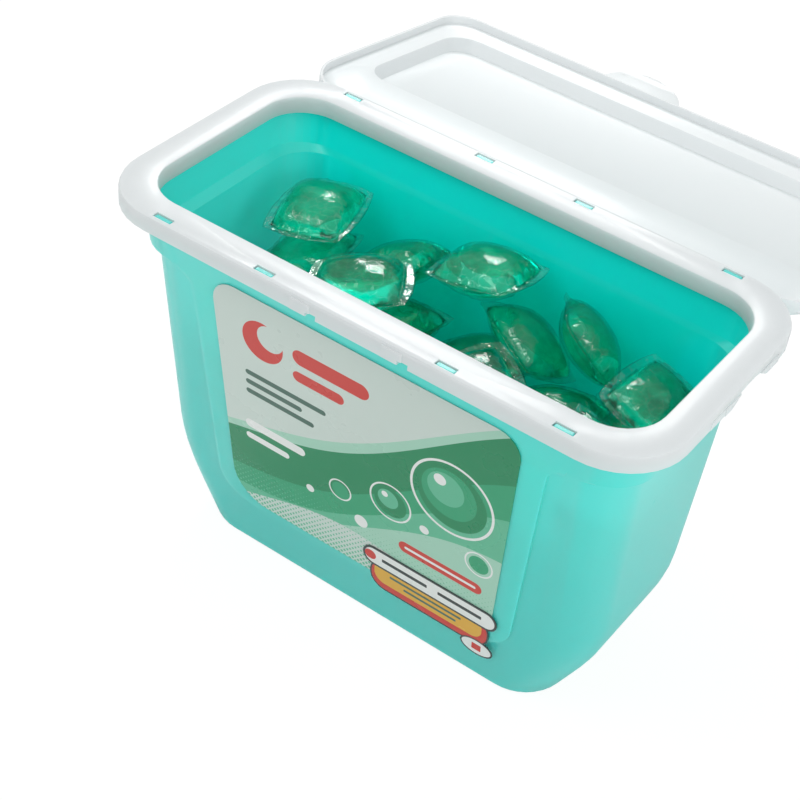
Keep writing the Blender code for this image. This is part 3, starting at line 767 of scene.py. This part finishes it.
def bar(colour: Colour, x: float, z: float, half_x: float, half_z: float, corner: float = -1.0,
        turn: float = 0.0) -> PrintedShape:
    """A printed bar; with no corner given its ends are round."""
    radius = min(half_x, half_z) if corner < 0 else corner
    return PrintedShape(bar_group, colour, (x, z, half_x, half_z, radius, math.radians(turn)))


def disc(colour: Colour, x: float, z: float, radius: float, hole: float = -1.0, squash: float = 1.0) -> PrintedShape:
    """A printed disc or ring."""
    return PrintedShape(disc_group, colour, (x, z, radius, hole, squash))


def wave(colour: Colour, level: float, slope: float, swing: float, length: float, shift: float) -> PrintedShape:
    """A printed field under a rolling line."""
    return PrintedShape(wave_group, colour, (level, slope, swing, length, shift))


def dots(colour: Colour, pitch: float, size: float, full: float, gone: float, left: float,
         right: float) -> PrintedShape:
    """A printed field of small diamonds between two sides, whole at one height and gone at another."""
    return PrintedShape(dots_group, colour, (pitch, size, full, gone, left, right))


@dataclass(frozen=True)
class PrintedFilm:
    """A glossy film printed with flat fields of ink, the later ones over the earlier ones.

    Attributes:
        name: The material's name.
        ground: The colour under all the ink.
        shapes: The fields of ink, placed in X and Z on the tub's front, in millimetres.
        roughness: How dull the film is.
    """

    name: str
    ground: Colour
    shapes: tuple[PrintedShape, ...]
    roughness: float = 0.3

    def material(self) -> bpy.types.Material:
        """Builds the material.

        Returns:
            The material.
        """
        mat = bpy.data.materials.new(self.name)
        mat.use_nodes = True
        build = Nodes(mat.node_tree)
        shader = mat.node_tree.nodes["Principled BSDF"]
        place = build.add("ShaderNodeTexCoord").outputs["Object"]
        split = build.add("ShaderNodeSeparateXYZ")
        build.link(place, split.inputs[0])
        x = build.math("MULTIPLY", split.outputs["X"], 1 / MM)
        z = build.math("MULTIPLY", split.outputs["Z"], 1 / MM)
        ink: object = rgba(self.ground)
        for shape in self.shapes:
            mask = build.add("ShaderNodeGroup", node_tree=shape.group())
            for socket, value in zip(mask.inputs, (x, z, *shape.values)):
                build.feed(socket, value)
            ink = build.mix(mask.outputs["Mask"], ink, rgba(shape.colour))
        build.link(ink, shader.inputs["Base Color"])
        cloud = build.noise(place, 60.0, 3.0, 0.55)
        dull = build.ramp(cloud, 0.3, 0.7, self.roughness - 0.05, self.roughness + 0.08)
        build.link(dull, shader.inputs["Roughness"])
        bump = build.add("ShaderNodeBump")
        bump.inputs["Strength"].default_value = 0.15
        bump.inputs["Distance"].default_value = 0.4 * MM
        build.link(cloud, bump.inputs["Height"])
        build.link(bump.outputs["Normal"], shader.inputs["Normal"])
        shader.inputs["Coat Weight"].default_value = 0.3
        shader.inputs["Coat Roughness"].default_value = 0.15
        return mat


PALE = srgb(209, 223, 216)
DEEP_GREEN = srgb(0, 138, 88)
FRESH_GREEN = srgb(40, 164, 116)
LEAF_GREEN = srgb(96, 190, 152)
MINT = srgb(168, 216, 194)
INK_RED = srgb(212, 52, 42)
INK_GREY = srgb(66, 104, 90)
INK_DARK = srgb(44, 52, 54)
INK_YELLOW = srgb(232, 176, 54)
INK_WHITE = srgb(240, 242, 240)

LABEL_PRINT = PrintedFilm("label_print", PALE, (
    wave(MINT, 92.0, 0.56, 6.0, 150.0, 30.0),
    wave(DEEP_GREEN, 88.0, 0.55, 7.0, 150.0, 30.0),
    wave(FRESH_GREEN, 68.0, 0.50, 8.0, 150.0, 24.0),
    wave(LEAF_GREEN, 56.0, 0.42, 8.0, 150.0, 18.0),
    wave(MINT, 46.0, 0.28, 7.0, 140.0, 5.0),
    wave(PALE, 36.0, 0.10, 5.0, 120.0, -40.0),
    dots(LEAF_GREEN, 2.4, 0.75, 26.0, 52.0, -61.0, 61.0),
    disc(INK_RED, -40.0, 108.5, 8.5),
    disc(PALE, -36.8, 111.4, 5.4),
    bar(INK_RED, -12.0, 110.5, 15.5, 3.3),
    bar(INK_RED, -17.0, 101.6, 10.5, 2.3),
    bar(INK_GREY, -31.0, 91.0, 17.0, 1.1),
    bar(INK_GREY, -36.0, 86.6, 12.0, 1.1),
    bar(INK_GREY, -33.5, 82.2, 14.5, 1.1),
    disc(INK_WHITE, 37.0, 84.0, 16.5, 15.5),
    disc(DEEP_GREEN, 37.0, 84.0, 13.6),
    disc(FRESH_GREEN, 35.8, 85.6, 10.8),
    disc(LEAF_GREEN, 34.4, 87.2, 7.2),
    disc(INK_WHITE, 32.0, 90.4, 2.4),
    disc(INK_WHITE, 13.0, 66.0, 8.6, 7.9),
    disc(DEEP_GREEN, 13.0, 66.0, 6.6),
    disc(LEAF_GREEN, 12.0, 67.2, 4.2),
    disc(INK_WHITE, 10.6, 68.8, 1.3),
    disc(INK_WHITE, -8.0, 58.0, 4.8, 4.2),
    disc(FRESH_GREEN, -8.0, 58.0, 3.4),
    disc(INK_WHITE, 49.0, 60.0, 5.6, 5.0),
    disc(FRESH_GREEN, 49.0, 60.0, 3.9),
    disc(INK_WHITE, 1.0, 48.0, 2.8),
    disc(INK_WHITE, 27.0, 62.0, 1.9),
    disc(INK_WHITE, -21.0, 50.0, 1.7),
    bar(INK_WHITE, -36.0, 66.0, 13.0, 1.9),
    bar(INK_WHITE, -39.5, 59.8, 9.5, 1.4),
    bar(INK_RED, 34.0, 47.6, 17.0, 2.6),
    bar(INK_WHITE, 34.0, 47.6, 14.6, 0.6),
))

STICKER_PRINT = PrintedFilm("sticker_print", INK_DARK, (
    bar(INK_RED, 30.5, 26.2, 24.3, 6.6, 5.8),
    bar(INK_YELLOW, 30.0, 27.6, 22.6, 5.2, 4.6),
    bar(INK_DARK, 30.3, 34.2, 28.0, 4.6),
    bar(INK_WHITE, 30.3, 34.2, 27.1, 3.7),
    bar(INK_RED, 5.5, 34.2, 2.4, 2.2),
    bar(INK_DARK, 20.0, 34.2, 9.5, 0.8, 0.3),
    bar(INK_DARK, 43.0, 34.2, 9.0, 0.8, 0.3),
    bar(INK_GREY, 29.0, 27.6, 15.0, 0.55, 0.2),
    bar(INK_GREY, 31.0, 25.0, 11.0, 0.55, 0.2),
    disc(INK_DARK, 51.0, 17.6, 6.75, -1.0, 0.59),
    disc(INK_WHITE, 51.0, 17.6, 6.0, -1.0, 0.55),
    bar(INK_RED, 51.0, 17.6, 1.9, 1.6, 0.3),
), 0.22)


@dataclass
class PrintedPiece:
    """A printed film that keeps its CAD node's form.

    Attributes:
        node: The CAD node.
        slot: The record's material slot; not used.
        print: Its print.
    """

    node: str
    slot: str
    print: PrintedFilm

    def build(self) -> bpy.types.Object:
        """Makes the film and sets it on the tub.

        Returns:
            The film.
        """
        piece = copy_of_node(self.node, self.node + "_film")
        finish_shading(piece, 30.0)
        piece.data.materials.append(self.print.material())
        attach(piece, "tub")
        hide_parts(self.node)
        LOG.info("%s: %d faces, %d fields of ink", piece.name, len(piece.data.polygons), len(self.print.shapes))
        return piece


@dataclass(frozen=True)
class GelFinish:
    """Clear green gel, a little uneven in its depth.

    Attributes:
        deep: Its colour where it is deepest.
        clear: Its colour where it is clearest.
        cloud_scale: How fine the change between them is.
        roughness: How dull its skin is.
        ior: How strongly it bends light.
        clearness: How much light passes through.
    """

    deep: Colour = (0.0, 0.62, 0.40)
    clear: Colour = (0.0, 1.0, 0.70)
    cloud_scale: float = 70.0
    roughness: float = 0.03
    ior: float = 1.33
    clearness: float = 0.9

    def material(self) -> bpy.types.Material:
        """Builds the material.

        Returns:
            The material.
        """
        mat = bpy.data.materials.new("pod_gel")
        mat.use_nodes = True
        build = Nodes(mat.node_tree)
        shader = mat.node_tree.nodes["Principled BSDF"]
        place = build.add("ShaderNodeTexCoord").outputs["Object"]
        depth = build.noise(place, self.cloud_scale, 3.0, 0.6)
        shade = build.mix(build.ramp(depth, 0.38, 0.62), rgba(self.deep), rgba(self.clear))
        build.link(shade, shader.inputs["Base Color"])
        shader.inputs["Roughness"].default_value = self.roughness
        shader.inputs["IOR"].default_value = self.ior
        shader.inputs["Transmission Weight"].default_value = self.clearness
        return mat


@dataclass(frozen=True)
class CrinkledFilm:
    """Clear crinkled film: mostly see-through, with thin bright creases and a pale rim.

    Attributes:
        tint: What it takes from the light that passes.
        roughness: How dull its shine is.
        crackle_scale: How fine its crinkles are.
        waver_scale: How fine the wavering of the crinkles is.
        waver: How far they waver, in metres.
        relief: How deep they look over the gel, and how much more at the hem.
        shine: How much it mirrors face on, and how much more at a slant.
        crease_shine: How much a crease adds over the gel, and how much more at the hem.
    """

    tint: Colour = (0.93, 0.99, 0.96)
    roughness: float = 0.09
    crackle_scale: float = 260.0
    waver_scale: float = 190.0
    waver: float = 4.0 * MM
    relief: tuple[float, float] = (0.10, 0.08)
    shine: tuple[float, float] = (0.035, 0.42)
    crease_shine: tuple[float, float] = (0.07, 0.10)

    def crinkles(self, build: Nodes) -> bpy.types.NodeSocket:
        """How far a place is from the nearest crinkle.

        Args:
            build: The material's builder.

        Returns:
            The distance, as a socket.
        """
        place = build.add("ShaderNodeTexCoord").outputs["Object"]
        waver = build.add("ShaderNodeTexNoise")
        waver.inputs["Scale"].default_value = self.waver_scale
        build.link(place, waver.inputs["Vector"])
        bend = build.add("ShaderNodeVectorMath", operation="MULTIPLY_ADD")
        build.link(waver.outputs["Color"], bend.inputs[0])
        bend.inputs[1].default_value = (self.waver, self.waver, self.waver)
        build.link(place, bend.inputs[2])
        crackle = build.add("ShaderNodeTexVoronoi", feature="DISTANCE_TO_EDGE")
        crackle.inputs["Scale"].default_value = self.crackle_scale
        build.link(bend.outputs[0], crackle.inputs["Vector"])
        return crackle.outputs["Distance"]

    def material(self) -> bpy.types.Material:
        """Builds the material.

        Returns:
            The material.
        """
        mat = bpy.data.materials.new("pod_film")
        mat.use_nodes = True
        tree = mat.node_tree
        tree.nodes.remove(tree.nodes["Principled BSDF"])
        build = Nodes(tree)
        hem = build.add("ShaderNodeAttribute", attribute_name="hem").outputs["Fac"]
        crinkles = self.crinkles(build)
        bump = build.add("ShaderNodeBump")
        bump.inputs["Distance"].default_value = 0.5 * MM
        build.link(build.math("MULTIPLY_ADD", hem, self.relief[1], self.relief[0]), bump.inputs["Strength"])
        build.link(build.ramp(crinkles, 0.0, 0.14, 1.0, 0.0), bump.inputs["Height"])
        gloss = build.add("ShaderNodeBsdfGlossy")
        gloss.inputs["Roughness"].default_value = self.roughness
        build.link(bump.outputs["Normal"], gloss.inputs["Normal"])
        clear = build.add("ShaderNodeBsdfTransparent")
        clear.inputs["Color"].default_value = rgba(self.tint)
        rim = build.add("ShaderNodeLayerWeight")
        rim.inputs["Blend"].default_value = 0.2
        share = build.math("MULTIPLY_ADD", rim.outputs["Fresnel"], self.shine[1], self.shine[0])
        line = build.ramp(crinkles, 0.0, 0.05, 1.0, 0.0)
        creased = build.math(
            "MULTIPLY", line, build.math("MULTIPLY_ADD", hem, self.crease_shine[1], self.crease_shine[0]),
        )
        total = build.add("ShaderNodeMath", operation="ADD", use_clamp=True)
        build.link(share, total.inputs[0])
        build.link(creased, total.inputs[1])
        mixed = build.add("ShaderNodeMixShader")
        build.link(total.outputs[0], mixed.inputs["Fac"])
        build.link(clear.outputs[0], mixed.inputs[1])
        build.link(gloss.outputs[0], mixed.inputs[2])
        build.link(mixed.outputs[0], tree.nodes["Material Output"].inputs["Surface"])
        return mat


def set_points(mesh: bpy.types.Mesh, points: np.ndarray) -> None:
    """Writes the places of a mesh's points."""
    mesh.vertices.foreach_set("co", np.ascontiguousarray(points, dtype=np.float32).ravel())
    mesh.update()


def get_points(mesh: bpy.types.Mesh) -> np.ndarray:
    """Reads the places of a mesh's points, one row a point.

    Args:
        mesh: The mesh.

    Returns:
        The places.
    """
    flat = np.empty(len(mesh.vertices) * 3, dtype=np.float32)
    mesh.vertices.foreach_get("co", flat)
    return flat.reshape(-1, 3).astype(float)


@dataclass(frozen=True)
class Crease:
    """One fold in the film, that starts at the hem and dies out over the gel.

    Attributes:
        start: Where it starts, in the sachet's flat frame.
        way: The direction in which it runs.
        length: How far it runs.
        width: Half its width.
        height: How far it stands up.
    """

    start: np.ndarray
    way: np.ndarray
    length: float
    width: float
    height: float

    def lift(self, flat: np.ndarray) -> np.ndarray:
        """How far it lifts each point of the film.

        Args:
            flat: The points in the sachet's plane.

        Returns:
            The lift at each point, in metres.
        """
        offset = flat - self.start
        along = offset @ self.way
        across = offset @ np.array((-self.way[1], self.way[0]))
        share = np.clip(1.0 - along / self.length, 0.0, 1.0) * (along > -self.width)
        return self.height * share * np.exp(-((across / self.width) ** 2))


@dataclass
class SachetPattern:
    """One way in which a pod's gel and film lie. Each pod is a copy of one of a few patterns.

    Attributes:
        seed: Chooses its creases and the curl of its hem.
        half_length: Half the film's length.
        half_width: Half the film's width.
        half_height: Half the pillow's height.
        gel_share: How much of the film's size the gel takes.
        creases: Folds in each side of the film.
        facet_count: Planes that make the loose film's facets.
        facet_height: How far a facet may stand off the gel.
        curl_height: How far the hem curls.
        gel_cells: Faces along and across one side of the gel.
        film_cells: Faces along and across one side of the film.
    """

    seed: int
    half_length: float = 18.4 * MM
    half_width: float = 16.4 * MM
    half_height: float = 8.2 * MM
    gel_share: float = 0.8
    creases: int = 44
    facet_count: int = 9
    facet_height: float = 0.9 * MM
    curl_height: float = 0.7 * MM
    gel_cells: tuple[int, int] = (30, 26)
    film_cells: tuple[int, int] = (52, 46)

    def pillow(self, u: np.ndarray, v: np.ndarray) -> np.ndarray:
        """Height of the gel over the middle plane, 0 outside it.

        Args:
            u: Place along, -1 to 1.
            v: Place across, -1 to 1.

        Returns:
            The heights, in metres.
        """
        fall_u = np.clip(1.0 - np.abs(u / self.gel_share) ** 2.4, 0.0, 1.0)
        fall_v = np.clip(1.0 - np.abs(v / self.gel_share) ** 2.4, 0.0, 1.0)
        return (self.half_height - 0.3 * MM) * (fall_u * fall_v) ** 0.5

    def facets(self, flat: np.ndarray, chance: random.Random) -> np.ndarray:
        """How far the loose film stands off the gel: a few broad flat facets that meet in sharp ridges.

        Args:
            flat: The points in the sachet's plane.
            chance: Draws the facets.

        Returns:
            The distances, in metres.
        """
        planes = []
        for _ in range(self.facet_count):
            turn = chance.uniform(0.0, math.tau)
            way = np.array((math.cos(turn), math.sin(turn)))
            planes.append(flat @ way * chance.uniform(0.06, 0.17) + chance.uniform(0.1, 1.0) * MM)
        return np.clip(np.min(planes, axis=0), 0.0, self.facet_height)

    def flat(self, u: np.ndarray, v: np.ndarray) -> np.ndarray:
        """Where a point of the film lies in the sachet's plane."""
        pull = 1.0 - 0.13 * u * u * v * v
        return np.stack((self.half_length * u * pull, self.half_width * v * pull), axis=1)

    def folds(self, chance: random.Random) -> list[Crease]:
        """Chooses the creases of one side.

        Args:
            chance: Draws the creases.

        Returns:
            The creases.
        """
        folds = []
        for _ in range(self.creases):
            turn = chance.uniform(0.0, math.tau)
            reach = chance.uniform(0.75, 1.0)
            edge = max(abs(math.cos(turn)), abs(math.sin(turn)))
            start = np.array((
                self.half_length * reach * math.cos(turn) / edge, self.half_width * reach * math.sin(turn) / edge,
            )) * 0.93
            inward = math.atan2(-start[1], -start[0]) + chance.gauss(0.0, 0.45)
            way = np.array((math.cos(inward), math.sin(inward)))
            length = chance.uniform(4.0, 13.0) * MM
            width = chance.uniform(0.35, 1.0) * MM
            folds.append(Crease(start, way, length, width, chance.uniform(0.15, 0.6) * MM))
        return folds

    def curl(self, u: np.ndarray, v: np.ndarray, chance: random.Random) -> np.ndarray:
        """How far the hem curls out of the sachet's plane.

        Args:
            u: Place along, -1 to 1.
            v: Place across, -1 to 1.
            chance: Draws the waves.

        Returns:
            The offsets, in metres.
        """
        turn = np.arctan2(v, u)
        swing = np.zeros_like(u)
        for rate in (2, 3, 5, 9, 14):
            swing += chance.uniform(0.5, 1.0) / rate ** 0.8 * np.sin(rate * turn + chance.uniform(0.0, math.tau))
        rim = np.maximum(np.abs(u), np.abs(v))
        beyond = np.clip((rim - self.gel_share + 0.08) / (1.08 - self.gel_share), 0.0, 1.0)
        return self.curl_height * swing * beyond ** 1.3

    def sheet(self, name: str, cells: tuple[int, int], share: float) -> bpy.types.Object:
        """A flat grid from -1 to 1 times a share, for one side.

        Args:
            name: Its name.
            cells: Faces along and across.
            share: Its half size.

        Returns:
            The grid.
        """
        bpy.ops.mesh.primitive_grid_add(x_subdivisions=cells[0], y_subdivisions=cells[1], size=2.0 * share)
        sheet = bpy.context.active_object
        sheet.name = name
        return sheet

    def closed(self, name: str, upper: bpy.types.Object, lower: bpy.types.Object) -> bpy.types.Object:
        """Joins the two sides of a sachet at their common edge.

        Args:
            name: The skin's name.
            upper: The upper side.
            lower: The lower side.

        Returns:
            The closed skin.
        """
        with editing(lower, "FACE"):
            bpy.ops.mesh.select_all(action="SELECT")
            bpy.ops.mesh.flip_normals()
        deselect_all()
        lower.select_set(True)
        upper.select_set(True)
        bpy.context.view_layer.objects.active = upper
        bpy.ops.object.join()
        upper.name = name
        with editing(upper):
            bpy.ops.mesh.select_all(action="SELECT")
            bpy.ops.mesh.remove_doubles(threshold=0.004 * MM)
        pick(upper)
        bpy.ops.object.shade_smooth()
        return upper

    def gel(self) -> bpy.types.Object:
        """The gel, a closed pillow with the print of the deepest creases.

        Returns:
            The gel.
        """
        chance = random.Random(self.seed)
        sides = []
        for side in (1, -1):
            sheet = self.sheet("gel_side", self.gel_cells, self.gel_share)
            points = get_points(sheet.data)
            u, v = points[:, 0], points[:, 1]
            flat = self.flat(u, v)
            height = self.pillow(u, v)
            inner = np.clip(height / self.half_height * 2.0, 0.0, 1.0)
            dents = sum(fold.lift(flat) for fold in self.folds(chance)) * 0.7 * inner
            dents += (self.facet_height - self.facets(flat, chance)) * 0.8 * inner
            set_points(sheet.data, np.column_stack((flat, side * (height - dents))))
            sides.append(sheet)
        return self.closed("gel_pattern", *sides)

    def film(self) -> bpy.types.Object:
        """The film, a closed skin over the gel with a curled hem; its attribute hem is 1 at the rim.

        Returns:
            The film.
        """
        chance = random.Random(self.seed)
        curl_seed = self.seed + 1
        sides = []
        for side in (1, -1):
            sheet = self.sheet("film_side", self.film_cells, 1.0)
            points = get_points(sheet.data)
            u, v = points[:, 0], points[:, 1]
            flat = self.flat(u, v)
            rim = np.maximum(np.abs(u), np.abs(v))
            edge = np.clip((1.0 - rim) / 0.04, 0.0, 1.0)
            curl = self.curl(u, v, random.Random(curl_seed))
            inner = np.clip((self.gel_share - rim) / 0.2, 0.0, 1.0)
            gap = (0.12 * MM + sum(fold.lift(flat) for fold in self.folds(chance))) * edge
            gap += self.facets(flat, chance) * inner
            set_points(sheet.data, np.column_stack((flat, side * (self.pillow(u, v) + gap) + curl)))
            hem = sheet.data.attributes.new("hem", "FLOAT", "POINT")
            hem.data.foreach_set("value", np.clip((rim - 0.55) / 0.4, 0.0, 1.0).astype(np.float32))
            sides.append(sheet)
        return self.closed("film_pattern", *sides)

    def build(self, gel: bpy.types.Material, film: bpy.types.Material) -> bpy.types.Object:
        """Makes the pattern: gel and film in one piece, each with its own material.

        Args:
            gel: The gel's material.
            film: The film's material.

        Returns:
            The sachet.
        """
        skin = self.film()
        skin.data.materials.append(film)
        heart = self.gel()
        heart.data.materials.append(gel)
        deselect_all()
        skin.select_set(True)
        heart.select_set(True)
        bpy.context.view_layer.objects.active = skin
        bpy.ops.object.join()
        skin.name = "sachet_pattern"
        return skin


def pod_pose(node: str) -> Matrix:
    """Where a pod lies: its middle, and its long, wide and thin directions, from its solid's points.

    Args:
        node: The pod's CAD node.

    Returns:
        The pod's place and turn.
    """
    points = np.unique(np.round(get_points(frame["nodes"][node].data), 6), axis=0)
    middle = points.mean(axis=0)
    _, axes = np.linalg.eigh(np.cov((points - middle).T))
    thin, wide, long = axes.T
    if np.dot(np.cross(long, wide), thin) < 0:
        thin = -thin
    turn = Matrix((long, wide, thin)).transposed().to_4x4()
    return Matrix.Translation(Vector(middle)) @ turn


def keep_off(pod: bpy.types.Object, middle: Vector, wall: BVHTree, gap: float) -> None:
    """Pulls back the points of a pod that reach the tub's wall or floor.

    Args:
        pod: The pod.
        middle: The pod's middle, inside the tub.
        wall: The tub's faces.
        gap: How far the film stays off them.
    """
    for vert in pod.data.vertices:
        way = vert.co - middle
        reach = way.length
        hit, _, _, distance = wall.ray_cast(middle, way, reach + gap)
        if hit:
            vert.co = middle + way * ((distance - gap) / reach)


@dataclass
class PodHeap:
    """The heap of pods in the tub, each where its CAD node lies.

    Attributes:
        patterns: How many different sachets there are.
        seed: Chooses which pod follows which pattern.
        wall_gap: How far the film stays off the tub.
    """

    patterns: int = 6
    seed: int = 3
    wall_gap: float = 0.25 * MM

    def build(self) -> None:
        """Lays every pod."""
        gel = GelFinish().material()
        film = CrinkledFilm().material()
        patterns = [SachetPattern(seed=11 + 7 * k).build(gel, film) for k in range(self.patterns)]
        chance = random.Random(self.seed)
        tub = frame["nodes"]["tub"].data
        wall = BVHTree.FromPolygons([vert.co for vert in tub.vertices], [tuple(f.vertices) for f in tub.polygons])
        for node in pod_nodes():
            pattern = chance.choice(patterns)
            pod = bpy.data.objects.new(node + "_sachet", pattern.data.copy())
            bpy.context.scene.collection.objects.link(pod)
            half_turn = Matrix.Rotation(math.pi * chance.randrange(2), 4, "Z")
            pose = pod_pose(node)
            pod.data.transform(pose @ half_turn)
            keep_off(pod, pose.translation, wall, self.wall_gap)
            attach(pod, "tub")
            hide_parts(node)
        for pattern in patterns:
            bpy.data.objects.remove(pattern, do_unlink=True)
        LOG.info("heap: %d pods from %d patterns", len(pod_nodes()), self.patterns)


def pod_nodes() -> list[str]:
    """The names of the pods' CAD nodes."""
    return sorted(name for name in frame["nodes"] if name.startswith("pod_"))


def main() -> None:
    """Builds the studio and every piece, and writes how large the dressed model is."""
    logging.basicConfig(level=logging.INFO, format="%(name)s %(message)s")
    Studio().build()
    Moulding("tub", "tub", "tub", TURQUOISE, 0.4 * MM).build()
    Moulding("collar", "tub", "collar", WHITE, 0.3 * MM).build()
    Moulding("lid", "lid", "lid", WHITE, 0.35 * MM).build()
    LivingHinge().build(WHITE)
    PrintedPiece("front_label", "label", LABEL_PRINT).build()
    PrintedPiece("sticker", "sticker", STICKER_PRINT).build()
    PodHeap().build()


if __name__ == "__main__":
    main()
